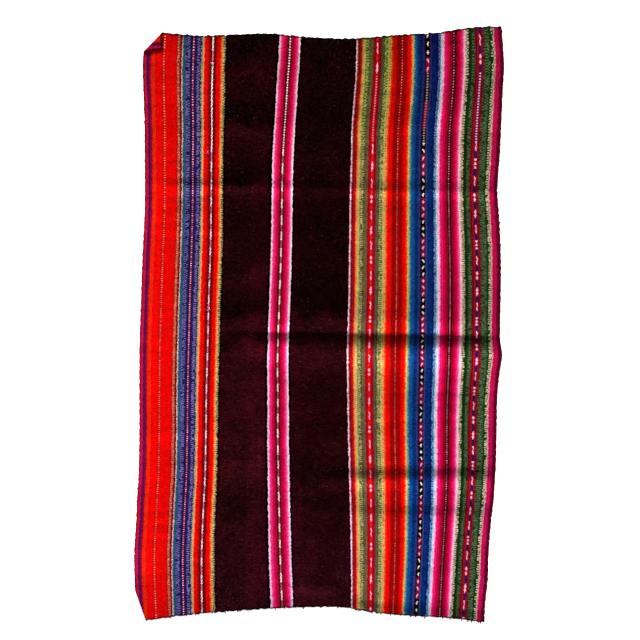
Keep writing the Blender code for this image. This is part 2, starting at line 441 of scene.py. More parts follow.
def fold_directions(fold):
    """The unit direction along a fold line, and the one that leads out of the cloth across it, to the left."""
    run_x, run_y = fold.end_x - fold.start_x, fold.end_y - fold.start_y
    length = math.hypot(run_x, run_y)
    side = -1 if run_y > 0 else 1
    return (run_x / length, run_y / length), (side * run_y / length, -side * run_x / length)


def beyond_fold(fold, x, y):
    """How far places lie beyond the fold line."""
    _, out = fold_directions(fold)
    return (x - fold.start_x) * out[0] + (y - fold.start_y) * out[1]


def fold_back(fold, x, y, offset, wanted):
    """Turns places on the slab around the fold line. offset is their height over the middle of the slab."""
    beyond = np.where(wanted, np.maximum(beyond_fold(fold, x, y), 0.0), 0.0)
    _, out = fold_directions(fold)
    angle = np.minimum(beyond / FOLD_RADIUS, math.pi)
    past = np.maximum(beyond - FOLD_LENGTH, 0.0)
    radius = FOLD_RADIUS - fold.turn * offset
    height = fold.turn * (FOLD_RADIUS - radius * np.cos(angle))
    if fold.turn > 0:
        height = height - (2 * FOLD_RADIUS - THICKNESS - FLAP_GAP) * ease(past / FLAP_SETTLES_OVER)
    shift = radius * np.sin(angle) - past - beyond
    turned = beyond > 0
    return (
        np.where(turned, x + out[0] * shift, x),
        np.where(turned, y + out[1] * shift, y),
        np.where(turned, height, offset),
    )


def lift_over_turned_edge(x, y):
    """How far the cloth is held up by the edge that is turned under it."""
    fold = NEAR_LEFT_EDGE
    along, _ = fold_directions(fold)
    run = (x - fold.start_x) * along[0] + (y - fold.start_y) * along[1]
    away = np.hypot(np.maximum(-run, 0.0), np.minimum(beyond_fold(fold, x, y), 0.0))
    fall = ease((away - LIFT_STARTS_TO_FALL) / (LIFT_ENDS - LIFT_STARTS_TO_FALL))
    return 2 * FOLD_RADIUS * (1 - fall)


def as_it_lies(x, y, offset):
    """Where places on the flat slab end up when the cloth is laid down."""
    lift = lift_over_turned_edge(x, y)
    x, y, height = fold_back(FAR_LEFT_CORNER, x, y, offset, y > 0)
    x, y, height = fold_back(NEAR_LEFT_EDGE, x, y, height, y < 0)
    return x, y, height + lift + crease_height(x, y)


def edge_steps(from_first, from_second, run, lanes, layer):
    """How far two facing edges step in and out, as a share that fades away inside the cloth."""
    lane = np.where(from_first < from_second, lanes[0], lanes[1])
    nearest = np.minimum(from_first, from_second)
    return rough(run, lane, layer) * ease(1 - nearest / STEP_DEPTH)


def selvage_steps(x, y):
    from_left, from_right = x - left_selvage(y), right_selvage(y) - x
    steps = edge_steps(from_left, from_right, y / SELVAGE_STEP_LENGTH, SELVAGE_LANES, SELVAGE_LAYER)
    return SELVAGE_STEP * steps


def end_steps(x, y):
    """The two ends step too, where the last weft lies uneven."""
    from_near, from_far = y - near_selvage(x), far_selvage(x) - y
    return END_STEP * edge_steps(from_near, from_far, x / END_STEP_LENGTH, END_LANES, END_LAYER)


def coordinates(mesh):
    places = np.array([vertex.co for vertex in mesh.verts])
    return places[:, 0], places[:, 1], places[:, 2]


def flat_sheet():
    """The panel as one flat layer, with lines cut along each fold so that it can bend there."""
    sheet = bmesh.new()
    bmesh.ops.create_grid(sheet, x_segments=COLUMNS, y_segments=ROWS, size=0.5)
    x, y, _ = coordinates(sheet)
    x, y = on_outline(x + 0.5, y + 0.5)
    x, y = x + selvage_steps(x, y), y + end_steps(x, y)
    for vertex, a, b in zip(sheet.verts, x, y):
        vertex.co = (a, b, 0.0)
    for fold in (FAR_LEFT_CORNER, NEAR_LEFT_EDGE):
        _, out = fold_directions(fold)
        for cut in range(FOLD_CUTS + 1):
            beyond = FOLD_LENGTH * cut / FOLD_CUTS
            bmesh.ops.bisect_plane(
                sheet,
                geom=sheet.verts[:] + sheet.edges[:] + sheet.faces[:],
                plane_co=(fold.start_x + out[0] * beyond, fold.start_y + out[1] * beyond, 0.0),
                plane_no=(out[0], out[1], 0.0),
            )
    return sheet


def thicken(sheet):
    """Gives the sheet its thickness, with selvages that are round."""
    grown = bmesh.ops.extrude_face_region(sheet, geom=sheet.faces[:])
    raised = [item for item in grown["geom"] if isinstance(item, bmesh.types.BMVert)]
    bmesh.ops.translate(sheet, verts=raised, vec=(0.0, 0.0, THICKNESS))
    uprights = [edge for edge in sheet.edges if edge.verts[0].co.z != edge.verts[1].co.z]
    bmesh.ops.subdivide_edges(sheet, edges=uprights, cuts=SELVAGE_RINGS)
    bmesh.ops.recalc_face_normals(sheet, faces=sheet.faces[:])
    sheet.normal_update()
    for vertex in sheet.verts:
        up = 2 * vertex.co.z / THICKNESS - 1
        between_faces = abs(up) < 0.9
        if between_faces:
            outward = Vector((vertex.normal.x, vertex.normal.y, 0.0))
            vertex.co += outward * SELVAGE_SWELL * math.sqrt(1 - up * up)


def woven_panel():
    """The whole cloth as one mesh, with its yarns and rows as UV coordinates."""
    slab = flat_sheet()
    thicken(slab)
    mesh = bpy.data.meshes.new("woven_panel")
    slab.to_mesh(mesh)
    slab.free()
    places = np.empty(len(mesh.vertices) * 3)
    mesh.vertices.foreach_get("co", places)
    x, y, z = places.reshape(-1, 3).T
    yarns, rows = warp_place(x, y), weft_place(x, y)
    x, y, z = as_it_lies(x, y, z - THICKNESS / 2)
    x -= (x.min() + x.max()) / 2
    y -= (y.min() + y.max()) / 2
    mesh.vertices.foreach_set("co", np.stack((x, y, z + THICKNESS / 2), axis=1).ravel() * MM)
    corners = np.empty(len(mesh.loops), int)
    mesh.loops.foreach_get("vertex_index", corners)
    layer = mesh.uv_layers.new(name="weave")
    in_weave = np.stack((yarns[corners] * YARN, rows[corners] * WOVEN_ROW), axis=1)
    layer.data.foreach_set("uv", in_weave.ravel() * MM)
    mesh.shade_smooth()
    mesh.update()
    cloth = bpy.data.objects.new("woven_panel", mesh)
    bpy.context.scene.collection.objects.link(cloth)
    return cloth


# Loose ends and slubs of yarn that stand out of the weave: where each starts, the way it points and how far
# it curls, in degrees, and its length, in millimetres.
LooseEnd = namedtuple("LooseEnd", "across along points curls length dye")
LOOSE_ENDS = (
    LooseEnd(-205.0, 311.0, 60, 300, 13, "magenta"),
    LooseEnd(-203.0, 316.0, 200, -240, 9, "rose"),
    LooseEnd(-205.0, 33.0, 250, 120, 10, "rose"),
    LooseEnd(-203.5, 31.0, 300, -150, 9, "blush"),
    LooseEnd(-202.5, 84.0, 80, 260, 7, "rose"),
    LooseEnd(-198.0, 480.0, 30, 330, 8, "white"),
    LooseEnd(124.0, 251.0, 100, 280, 8, "dusty pink"),
    LooseEnd(334.0, 187.0, 20, 90, 6, "oxblood"),
    LooseEnd(313.0, -393.0, -30, -100, 8, "purple wine"),
    LooseEnd(304.0, -546.0, -60, 80, 8, "oxblood"),
    LooseEnd(-331.5, -211.0, 170, 80, 6, "garnet"),
    LooseEnd(-336.5, -307.0, 190, -90, 6, "cherry"),
    LooseEnd(-337.0, -329.0, 160, 70, 5, "garnet"),
)
LOOSE_RADIUS = 0.65
LOOSE_TAPER = 0.45
LOOSE_LIFT = 0.8
LOOSE_STEPS = 9
LOOSE_SIDES = 6

# Short tufts of warp that stand out along the near end, closer together towards its right corner. They point
# away from the cloth, to within so many degrees, and curl by up to so many.
TUFTS = 34
TUFTS_FROM = -312
TUFTS_TO = 300
TUFT_CROWDING = 1.4
TUFT_LENGTH = 4.8
TUFT_RADIUS = 1.15
TUFT_POINTS = -90
TUFT_SPREAD = 50
TUFT_CURL = 90
TUFT_DYES = ("oxblood", "black", "wine", "oxblood", "garnet")
TUFT_SEED = 5

# Past its edge the cloth's upper face is taken to fall to the floor over this distance, from this far outside.
EDGE_FALL = 3
EDGE_FALL_OUTSIDE = 2


def top_of_cloth(x, y):
    """The height of the cloth's upper face, or of the floor past its edges."""
    x, y = np.array([x]), np.array([y])
    inside = np.minimum(
        np.minimum(x - left_selvage(y), right_selvage(y) - x),
        np.minimum(y - near_selvage(x), far_selvage(x) - y),
    )
    height = THICKNESS + crease_height(x, y) + lift_over_turned_edge(x, y)
    return float((height * ease((inside + EDGE_FALL_OUTSIDE) / EDGE_FALL))[0])


def yarn_ring(mesh, centre, heading, radius):
    """A ring of corners around the middle of a yarn that lies towards heading."""
    x, y, z = centre
    ring = []
    for side in range(LOOSE_SIDES):
        turn = 2 * math.pi * side / LOOSE_SIDES
        across = radius * math.cos(turn)
        place = (x - across * math.sin(heading), y + across * math.cos(heading), z + radius * math.sin(turn))
        ring.append(mesh.verts.new(tuple(value * MM for value in place)))
    return ring


def lay_loose_end(mesh, layer, end, thickest=LOOSE_RADIUS):
    """One thin curled yarn that lies on the cloth, tapered at its tip."""
    x, y = end.across, end.along
    step = end.length / LOOSE_STEPS
    before = None
    for number in range(LOOSE_STEPS + 1):
        share = number / LOOSE_STEPS
        heading = math.radians(end.points + end.curls * share)
        radius = thickest * (1 - LOOSE_TAPER * share ** 3)
        z = top_of_cloth(x, y) + radius + LOOSE_LIFT * math.sin(math.pi * share)
        ring = yarn_ring(mesh, (x, y, z), heading, radius)
        if before:
            for low in range(LOOSE_SIDES):
                high = (low + 1) % LOOSE_SIDES
                mesh.faces.new((before[low], before[high], ring[high], ring[low]))
        else:
            mesh.faces.new(ring)
        before = ring
        x += step * math.cos(heading)
        y += step * math.sin(heading)
    mesh.faces.new(before)
    mesh.faces.ensure_lookup_table()
    for face in mesh.faces[-(LOOSE_STEPS * LOOSE_SIDES + 2):]:
        for corner in face.loops:
            corner[layer] = dye(end.dye)


def near_end_tufts():
    """Loose ends for the tufts, at uneven places along the near end. The seed keeps them the same in each run."""
    noise.seed_set(TUFT_SEED)
    tufts = []
    for number in range(TUFTS):
        uneven = noise.noise_vector(Vector((number * 3.7, 2.0, 1.0)))
        share = 1 - (1 - (number + 0.5 + 0.5 * uneven.x) / TUFTS) ** TUFT_CROWDING
        across = TUFTS_FROM + share * (TUFTS_TO - TUFTS_FROM)
        along = float(near_selvage(across)) + 0.8
        points = TUFT_POINTS + TUFT_SPREAD * uneven.z
        length = TUFT_LENGTH * (1 + 0.7 * uneven.y)
        colour = TUFT_DYES[number % len(TUFT_DYES)]
        tufts.append(LooseEnd(across, along, points, TUFT_CURL * uneven.x, length, colour))
    return tufts


def loose_yarn_ends():
    """All the loose ends as one mesh, each with its dye as a colour attribute."""
    mesh = bmesh.new()
    layer = mesh.loops.layers.float_color.new("dye")
    for end in LOOSE_ENDS:
        lay_loose_end(mesh, layer, end)
    for end in near_end_tufts():
        lay_loose_end(mesh, layer, end, TUFT_RADIUS)
    bmesh.ops.recalc_face_normals(mesh, faces=mesh.faces[:])
    data = bpy.data.meshes.new("loose_yarn_ends")
    mesh.to_mesh(data)
    mesh.free()
    data.shade_smooth()
    ends = bpy.data.objects.new("loose_yarn_ends", data)
    bpy.context.scene.collection.objects.link(ends)
    return ends


def linear(channel):
    """A colour channel out of 255 as light."""
    share = channel / 255
    return share / 12.92 if share <= 0.04045 else ((share + 0.055) / 1.055) ** 2.4


def dye(name):
    return tuple(linear(channel) / DAYLIGHT for channel in DYES[name]) + (1.0,)


class Wire:
    """A socket in a material, so that shader maths can be written as plain expressions."""

    def __init__(self, board, socket):
        self.board = board
        self.socket = socket

    def maths(self, operation, *values):
        return self.board.node("ShaderNodeMath", {"operation": operation}, dict(enumerate(values)))

    def __add__(self, other):
        return self.maths("ADD", self, other)

    def __radd__(self, other):
        return self.maths("ADD", other, self)

    def __sub__(self, other):
        return self.maths("SUBTRACT", self, other)

    def __rsub__(self, other):
        return self.maths("SUBTRACT", other, self)

    def __mul__(self, other):
        return self.maths("MULTIPLY", self, other)

    def __rmul__(self, other):
        return self.maths("MULTIPLY", other, self)

    def __truediv__(self, other):
        return self.maths("DIVIDE", self, other)

    def __pow__(self, other):
        return self.maths("POWER", self, other)

    def __lt__(self, other):
        return self.maths("LESS_THAN", self, other)

    def __gt__(self, other):
        return self.maths("GREATER_THAN", self, other)

    def __abs__(self):
        return self.maths("ABSOLUTE", self)

    def floor(self):
        return self.maths("FLOOR", self)

    def fraction(self):
        return self.maths("FRACT", self)


class Board:
    """A material's nodes, laid by one method."""

    def __init__(self, name):
        self.material = bpy.data.materials.new(name)
        self.material.use_nodes = True
        self.tree = self.material.node_tree
        self.shader = self.tree.nodes["Principled BSDF"]

    def node(self, kind, settings=None, values=None, output=0):
        node = self.tree.nodes.new(kind)
        for name, setting in (settings or {}).items():
            if name == "stops":
                self.set_stops(node.color_ramp, setting)
            elif name == "blending":
                node.color_ramp.interpolation = setting
            else:
                setattr(node, name, setting)
        for name, value in (values or {}).items():
            self.feed(node.inputs[name], value)
        return Wire(self, node.outputs[output])

    def feed(self, socket, value):
        if isinstance(value, Wire):
            self.tree.links.new(value.socket, socket)
        else:
            socket.default_value = value

    @staticmethod
    def set_stops(ramp, stops):
        ramp.interpolation = "CONSTANT"
        ramp.elements[0].position, ramp.elements[0].color = stops[0]
        ramp.elements.remove(ramp.elements[1])
        for place, colour in stops[1:]:
            ramp.elements.new(place).color = colour

    def mix(self, share, first, second, blend="MIX"):
        """A colour between two others."""
        settings = {"data_type": "RGBA", "blend_type": blend}
        return self.node("ShaderNodeMix", settings, {0: share, 6: first, 7: second}, output=2)

    def vector(self, x=0.0, y=0.0, z=0.0):
        return self.node("ShaderNodeCombineXYZ", None, {0: x, 1: y, 2: z})

    def speckle(self, x, y=0.0):
        """A random number for each whole x and y."""
        settings = {"noise_dimensions": "2D"}
        return self.node("ShaderNodeTexWhiteNoise", settings, {"Vector": self.vector(x, y)})

    def cloud(self, x, y, detail=2.0):
        """Smooth noise around 0.5."""
        values = {"Vector": self.vector(x, y), "Scale": 1.0, "Detail": detail}
        return self.node("ShaderNodeTexNoise", {"noise_dimensions": "2D"}, values)


def striped_warp(board, yarn, second_shed):
    """The colour of the warp at a yarn, from the warp chart, on one shed or the other."""
    colour = None
    start = 0
    for first in range(0, len(WARP_CHART), RAMP_STOPS):
        group = WARP_CHART[first:first + RAMP_STOPS]
        width = sum(stripe.yarns for stripe in group)
        stops, place = [], 0
        for stripe in group:
            name = stripe.tick if second_shed and stripe.tick else stripe.dye
            stops.append((place / width, dye(name)))
            place += stripe.yarns
        ramp = board.node("ShaderNodeValToRGB", {"stops": stops}, {0: (yarn - start) / width})
        colour = board.mix(yarn > start, colour, ramp) if colour else ramp
        start += width
    return colour


# Small figures of the pattern bands: a line for each pick, and a sign for each two yarns across.
BUD = ("..#.", ".##.", "####", ".##.", ".##.", "####", ".##.", ".#..")
WAVE = (".##.", ".##.", "..#.", "..#.", ".#..", ".##.", ".##.", "..#.")
TWILL = (".#..", ".##.", "..##", "..#.", ".##.", ".#..", ".##.", "..#.")
RUNGS = ("####", ".##.", "....", ".##.", "####", "....", ".##.", "####")
BEADS = (".##.", "####", ".##.", "....", ".##.", "####", ".##.", "....")
SEED = (".##", "##.", ".#.")
DROP = (".#.", "###", ".#.")
LEFT_LEAN = ("##.", ".##", "..#")
RIGHT_LEAN = (".##", "##.", "#..")

# The pattern bands. A band's figures follow each other every so many picks, and one of them is centred at
# figure_at. Above the ladder they are centred at first_at. Distances are along the cloth, in millimetres.
Band = namedtuple("Band", "yarn pair picks figures figure_at first_at ladder_from ladder_to ladder_yarns")
FIGURE_BAND = Band(455.0, 1.2, 14, (WAVE, BUD, TWILL, BEADS), 90.7, 510.6, 460.0, 338.5, 2.8)
SEED_BAND = Band(559.6, 1.45, 6, (SEED, DROP, LEFT_LEAN, RIGHT_LEAN), 93.0, 519.0, 467.0, 336.5, 3.6)
BLOCK_BAND = Band(667.0, 1.25, 14, (BEADS, BUD, WAVE, RUNGS, TWILL), 89.8, 490.0, 466.0, 337.0, 3.2)

# Dotted lines: where each lies and how wide it is in yarns, the share of each row that its light thread
# shows, and its two dyes.
Dots = namedtuple("Dots", "yarn yarns shows light ground")
DOTTED_LINES = (
    Dots(39.8, 2.8, 0.42, "ember", "brick"),
    Dots(96.8, 2.6, 0.42, "shell", "plum"),
    Dots(506.6, 2.0, 0.4, "ember", "wine"),
    Dots(613.2, 2.0, 0.36, "petal", "oxblood"),
)


# The spot of flame in the figure band: how many picks after a figure starts, and its share of the repeat.
SPOT_FOLLOWS = 10
SPOT_SHARE = 0.16

# The ground of the seed band changes twice in so many picks, and is crimson behind some rungs of its ladder.
GROUND_PICKS = 36
CRIMSON_STARTS_AT = 87.9
CRIMSON_RUNGS_FROM = 412.0
CRIMSON_RUNGS_TO = 362.0

# The two thick lines of twisted yarn: where they lie in the warp, how often they change colour, and where. Past
# BEADS_END_AT the cord stays white, but for one stretch, and the chain is a row of beads.
CORD = 134.6
CHAIN = 275.4
TURN_PICKS = 15
CORD_PINK_AT = 90.7
CORD_EARLY_PINK_FROM = 507
CORD_EARLY_PINK_TO = 485
CHAIN_BRIGHT_AT = 104.5
BEADS_END_AT = 322
TWISTS = 0.33
TWIST_LEAN = 0.24
TWIST_SHOWS = 0.36


class Loom:
    """The places in the weave that the patterns are made from."""

    def __init__(self, board):
        self.board = board
        uv = board.node("ShaderNodeUVMap", {"uv_map": "weave"})
        self.yarn = board.node("ShaderNodeSeparateXYZ", None, {0: uv}, output=0) * (1 / (YARN * MM))
        self.row = board.node("ShaderNodeSeparateXYZ", None, {0: uv}, output=1) * (1 / (WOVEN_ROW * MM))
        self.pick = self.row * 2

    def by(self, yarn, yarns, drift=0.0):
        """Whether a place is inside a line of so many yarns."""
        return abs(self.yarn + drift - yarn) < yarns / 2

    def between(self, first, last):
        """Whether a row is between two others."""
        return (self.row > first) * (self.row < last)

    def repeat(self, picks, start):
        """How far through a repeat of so many picks a place is, from 0 to 1."""
        return ((self.pick - start) / picks).fraction()


def row_of(across, along):
    """The row at a place on the panel, as one number."""
    return float(weft_place(np.array([float(across)]), np.array([float(along)]))[0])


def band_place(band, along):
    """The row where a band reaches a distance along the cloth."""
    y = np.array([float(along)])
    xs = np.linspace(float(left_selvage(along)), float(right_selvage(along)), 1500)
    across = np.interp(band.yarn, warp_place(xs, np.full_like(xs, along)), xs)
    return row_of(across, along)


def runs(signs):
    """The stops of a ramp that is white where the signs are marked."""
    stops = []
    for place, sign in enumerate(signs):
        if place == 0 or sign != signs[place - 1]:
            level = 1.0 if sign == "#" else 0.0
            stops.append((place / len(signs), (level, level, level, 1.0)))
    return stops


def band_start(loom, band):
    """The pick where a figure of the band starts, below and above its ladder."""
    half = len(band.figures[0]) / 2
    main = 2 * band_place(band, band.figure_at) - half
    first = 2 * band_place(band, band.first_at) - half
    above = loom.row < band_place(band, band.ladder_from)
    return above * (first - main) + main


def in_ladder(loom, band):
    return loom.between(band_place(band, band.ladder_from), band_place(band, band.ladder_to))


def figures_of(board, loom, band, drift):
    """Where the figures and the ladder of a band are, as 1 or 0."""
    start = band_start(loom, band)
    columns = len(band.figures[0][0])
    gap = "." * (band.picks - len(band.figures[0]))
    place = loom.repeat(band.picks * len(band.figures), start)
    marked = 0.0
    for column in range(columns):
        signs = "".join("".join(line[column] for line in figure) + gap for figure in band.figures)
        ramp = board.node("ShaderNodeValToRGB", {"stops": runs(signs)}, {0: place})
        centre = band.yarn + (column - (columns - 1) / 2) * band.pair
        marked = marked + loom.by(centre, band.pair, drift) * ramp
    ladder = in_ladder(loom, band)
    rungs = loom.by(band.yarn, band.ladder_yarns, drift) * (loom.row.fraction() < 0.5)
    return marked * (1 - ladder) + rungs * ladder


def dotted_lines(board, loom, colour, drift):
    """Lines of small dots, one for each row, some dimmer than others."""
    for dots in DOTTED_LINES:
        colour = board.mix(loom.by(dots.yarn, dots.yarns + 1, drift), colour, dye(dots.ground))
        mark = loom.by(dots.yarn, dots.yarns, drift * 0.6) * (loom.row.fraction() < dots.shows)
        mark = mark * (0.15 + 0.85 * board.speckle(loom.row.floor(), dots.yarn))
        colour = board.mix(mark, colour, dye(dots.light))
    return colour


def figure_band(board, loom, colour, drift):
    """Light figures on red, with a spot of flame after each one."""
    band = FIGURE_BAND
    ladder = in_ladder(loom, band)
    spot = loom.repeat(band.picks, band_start(loom, band) + SPOT_FOLLOWS) < SPOT_SHARE
    colour = board.mix(spot * loom.by(band.yarn, 3) * (1 - ladder), colour, dye("flame"))
    thread = board.mix(ladder * 0.5, dye("thread pink"), dye("red"))
    return board.mix(figures_of(board, loom, band, drift), colour, thread)


def seed_band(board, loom, colour, drift):
    """Small seeds, pale on a black ground and pink on a crimson one. The two grounds take turns."""
    band = SEED_BAND
    ladder = in_ladder(loom, band)
    crimson = loom.repeat(GROUND_PICKS, 2 * band_place(band, CRIMSON_STARTS_AT)) < 0.5
    crimson_rungs = loom.between(band_place(band, CRIMSON_RUNGS_FROM), band_place(band, CRIMSON_RUNGS_TO))
    crimson = crimson * (1 - ladder) + crimson_rungs * ladder
    colour = board.mix(crimson * loom.by(band.yarn, 8), colour, dye("damson"))
    thread = board.mix(crimson, dye("ecru"), dye("thread pink"))
    thread = board.mix(ladder * 0.7, thread, dye("bark"))
    return board.mix(figures_of(board, loom, band, drift), colour, thread)


def block_band(board, loom, colour, drift):
    """Light figures on red, with a block of dark violet between them and behind the ladder."""
    band = BLOCK_BAND
    figure = loom.repeat(band.picks, band_start(loom, band)) < len(band.figures[0]) / band.picks
    block = 1 - figure * (1 - in_ladder(loom, band))
    colour = board.mix(block * loom.by(band.yarn, 5.6), colour, dye("night violet"))
    return board.mix(figures_of(board, loom, band, drift), colour, dye("petal"))


def cord_line(board, loom, colour, drift, swell, twist):
    """The thick line of twisted yarn between the left red stripes, white and pink by turns."""
    uneven = (board.cloud(loom.pick * 0.35, 21.0) - 0.5) * 5.0
    pink = loom.repeat(TURN_PICKS, 2 * row_of(-204, CORD_PINK_AT) - 3.5 + uneven) < 0.46
    upper = loom.row < row_of(-200, BEADS_END_AT)
    early_pink = loom.between(row_of(-198, CORD_EARLY_PINK_FROM), row_of(-198, CORD_EARLY_PINK_TO))
    pink = pink * (1 - upper) + early_pink * upper
    thread = board.mix(pink, dye("snow"), dye("dim rose"))
    thread = board.mix((twist < TWIST_SHOWS) * 0.75, thread, dye("claret"))
    colour = board.mix(loom.by(CORD, 5.6), colour, dye("oxblood"))
    return board.mix(abs(loom.yarn + drift - CORD) < swell, colour, thread)


def chain_line(board, loom, colour, drift, swell, twist):
    """The broken white line in the middle of the pink stripes. Near the far end it is a row of beads."""
    uneven = (board.cloud(loom.pick * 0.35, 21.0) - 0.5) * 5.0
    colour = board.mix(loom.by(CHAIN, 6), colour, dye("oxblood"))
    beads = loom.row < row_of(-66, BEADS_END_AT)
    bright = loom.repeat(TURN_PICKS, 2 * row_of(-72, CHAIN_BRIGHT_AT) - 4.0 + uneven) < 0.55
    bright = bright * (1 - beads) + (loom.row.fraction() < 0.5) * beads
    gap = board.mix(beads, dye("dusty pink"), dye("claret"))
    thread = board.mix(bright, gap, dye("snow"))
    thread = board.mix((twist < TWIST_SHOWS) * (1 - beads * 0.7) * 0.8, thread, dye("claret"))
    return board.mix(abs(loom.yarn + drift - CHAIN) < swell, colour, thread)


def pattern_bands(board, loom, colour, drift):
    """Lays the pattern bands, dotted lines and thick lines over the stripes."""
    for band in (dotted_lines, figure_band, seed_band, block_band):
        colour = band(board, loom, colour, drift)
    twist = (loom.pick * TWISTS + loom.yarn * TWIST_LEAN + board.cloud(loom.pick * 0.3, 11.0)).fraction()
    bead = 1 - (abs((loom.pick * TWISTS).fraction() - 0.5) * 2) ** 2
    swell = 0.3 + 0.8 * bead + 0.9 * board.cloud(loom.pick * 0.7, 5.0)
    for line in (cord_line, chain_line):
        colour = line(board, loom, colour, drift, swell, twist)
    return colour


# How bright the cloth is along its length in each zone, where 1 is the plain dye: partly fading, and partly
# painted light and shade of the creases that cross the cloth. These levels were set from brightness measured in
# the photograph.
Shade = namedtuple("Shade", "along left_stripes left_field middle_stripes right_field right_stripes")
SHADES = (
    Shade(540, 0.77, 0.22, 1.0, 0.3, 0.76),
    Shade(490, 0.93, 0.5, 0.82, 0.28, 0.88),
    Shade(462, 0.91, 0.92, 0.88, 0.4, 0.9),
    Shade(430, 0.96, 0.6, 0.88, 0.34, 0.76),
    Shade(400, 0.98, 0.2, 0.97, 0.39, 0.88),
    Shade(385, 1.04, 0.33, 1.15, 0.37, 1.08),
    Shade(362, 1.03, 1.44, 1.18, 0.36, 1.1),
    Shade(330, 0.99, 0.76, 1.1, 0.4, 0.83),
    Shade(275, 1.07, 0.26, 1.22, 0.55, 0.95),
    Shade(252, 1.11, 1.3, 1.4, 0.8, 1.04),
    Shade(225, 1.15, 0.75, 1.22, 0.55, 0.98),
    Shade(190, 1.24, 0.64, 1.27, 0.42, 1.15),
    Shade(130, 1.13, 0.8, 1.12, 0.52, 1.07),
    Shade(88, 1.13, 1.36, 1.08, 0.36, 1.0),
    Shade(35, 1.13, 0.42, 1.02, 0.3, 0.87),
    Shade(2, 1.2, 1.26, 1.0, 1.1, 0.85),
    Shade(-15, 1.21, 1.0, 1.1, 0.72, 0.75),
    Shade(-48, 1.24, 2.4, 1.5, 1.42, 0.95),
    Shade(-90, 1.19, 1.3, 1.1, 1.26, 1.37),
    Shade(-118, 1.19, 1.8, 1.25, 1.38, 1.44),
    Shade(-155, 1.18, 1.75, 1.2, 1.1, 1.34),
    Shade(-200, 1.13, 1.36, 1.0, 1.08, 1.02),
    Shade(-240, 1.22, 1.9, 1.15, 0.82, 0.86),
    Shade(-256, 1.27, 2.6, 1.2, 0.81, 0.98),
    Shade(-320, 1.13, 0.78, 1.12, 0.8, 1.2),
    Shade(-390, 1.18, 1.44, 1.18, 1.35, 1.25),
    Shade(-470, 1.04, 1.2, 1.0, 1.2, 1.06),
    Shade(-512, 0.93, 1.4, 1.35, 2.4, 1.1),
    Shade(-540, 0.82, 1.2, 1.0, 1.6, 0.95),
)
SHADE_TOP = 3.0

# The zones of the shade table: where each begins and ends in the warp chart, where its middle is in millimetres
# across, how patchy it is, and how much its yarns differ.
Zone = namedtuple("Zone", "column first last across patchy grain")
ZONES = (
    Zone("left_stripes", -4, 161, -240, 0.25, 0.0),
    Zone("left_field", 161, 254, -120, 1.6, 0.8),
    Zone("middle_stripes", 254, 299, -70, 0.25, 0.0),
    Zone("right_field", 299, 408, 0, 1.6, 0.8),
    Zone("right_stripes", 408, 720, 200, 0.25, 0.0),
)
PATCH_ROWS = 14
WEFT_SHOWS = 2.4

# How far the warp wanders, how far single stitches jump, and how far the patterns drift, all in yarns.
WARP_WANDERS = 0.9
WARP_JUMPS = 1.8
PATTERN_DRIFTS = 1.6
RELIEF = 0.0005

# Stripes that are greener or bluer near the far end, where the cloth is less faded: their middle, width and
# tint.
Tint = namedtuple("Tint", "yarn yarns colour")
TINTS = (
    Tint(461, 96, (0.66, 0.94, 0.52, 1.0)),
    Tint(562, 48, (0.8, 0.42, 0.72, 1.0)),
)
UNFADED_TO = 270
LEFT_FIELD = (207, 92)
RIGHT_FIELD = (353, 108)


def fading_and_painted_shade(board, loom, cell):
    """How much brighter or darker a place is than its plain dye: random patches and grain, and the shade table's
    bands, which are partly fading and partly painted light and shade of the creases.
    """
    total = rows_in_all()
    patches = board.cloud(loom.yarn * 0.02, loom.row * 0.1) - 0.5
    weft = board.cloud(loom.yarn * 0.07, loom.pick * 0.9, 1.0) - 0.5
    place = (loom.row + patches * PATCH_ROWS) / total
    tone = 1.0
    for zone in ZONES:
        stops = []
        for shade in SHADES:
            level = getattr(shade, zone.column) / SHADE_TOP
            stops.append((row_of(zone.across, shade.along) / total, (level, level, level, 1.0)))
        # Painted light and shade: this ramp lays the shade table's bands, crease light and shade together with
        # fading, into the colour.
        ramp = board.node("ShaderNodeValToRGB", {"stops": stops, "blending": "EASE"}, {0: place})
        inside = loom.by((zone.first + zone.last) / 2, zone.last - zone.first)
        level = ramp * SHADE_TOP * (1 + patches * zone.patchy) * (1 - zone.grain / 2 + zone.grain * cell)
        level = level * (1 + weft * zone.grain * WEFT_SHOWS)
        tone = tone + inside * (level - 1)
    return tone


def rows_in_all():
    return row_of(0, near_selvage(0))


def warp_and_weft(board, loom):
    """The stripes as they are woven. The warp wanders a little, and groups of yarns change sheds."""
    wander = (board.cloud(loom.yarn * 0.05, loom.row * 0.35) - 0.5) * WARP_WANDERS
    loose = board.speckle((loom.yarn * 0.25).floor(), loom.pick.floor())
    yarn = loom.yarn + wander + (loose - 0.5) * WARP_JUMPS
    group = (yarn * 0.3).floor()
    turned = (board.cloud(group * 0.7, loom.row * 0.04, 0.0) > 0.5) * 0.5
    turned = turned + (board.speckle(group, loom.pick.floor()) < 0.12) * 0.5
    shed = (loom.row + turned).fraction() < 0.5
    return board.mix(shed, striped_warp(board, yarn, False), striped_warp(board, yarn, True))


def wear_and_painted_shade(board, loom, colour, thread):
    """Makes each yarn, stitch and patch of the cloth a little brighter or darker, and multiplies in the shade
    table: fading, and painted light and shade of the creases.
    """
    cell = board.speckle((loom.yarn * 0.5).floor() + 7, loom.pick.floor())
    streak = board.cloud(loom.yarn * 0.5, loom.row * 0.06)
    tone = 0.58 + 0.16 * thread + 0.44 * cell + 0.24 * streak
    tone = tone * fading_and_painted_shade(board, loom, cell)
    return board.mix(1.0, colour, board.vector(tone, tone, tone), "MULTIPLY")


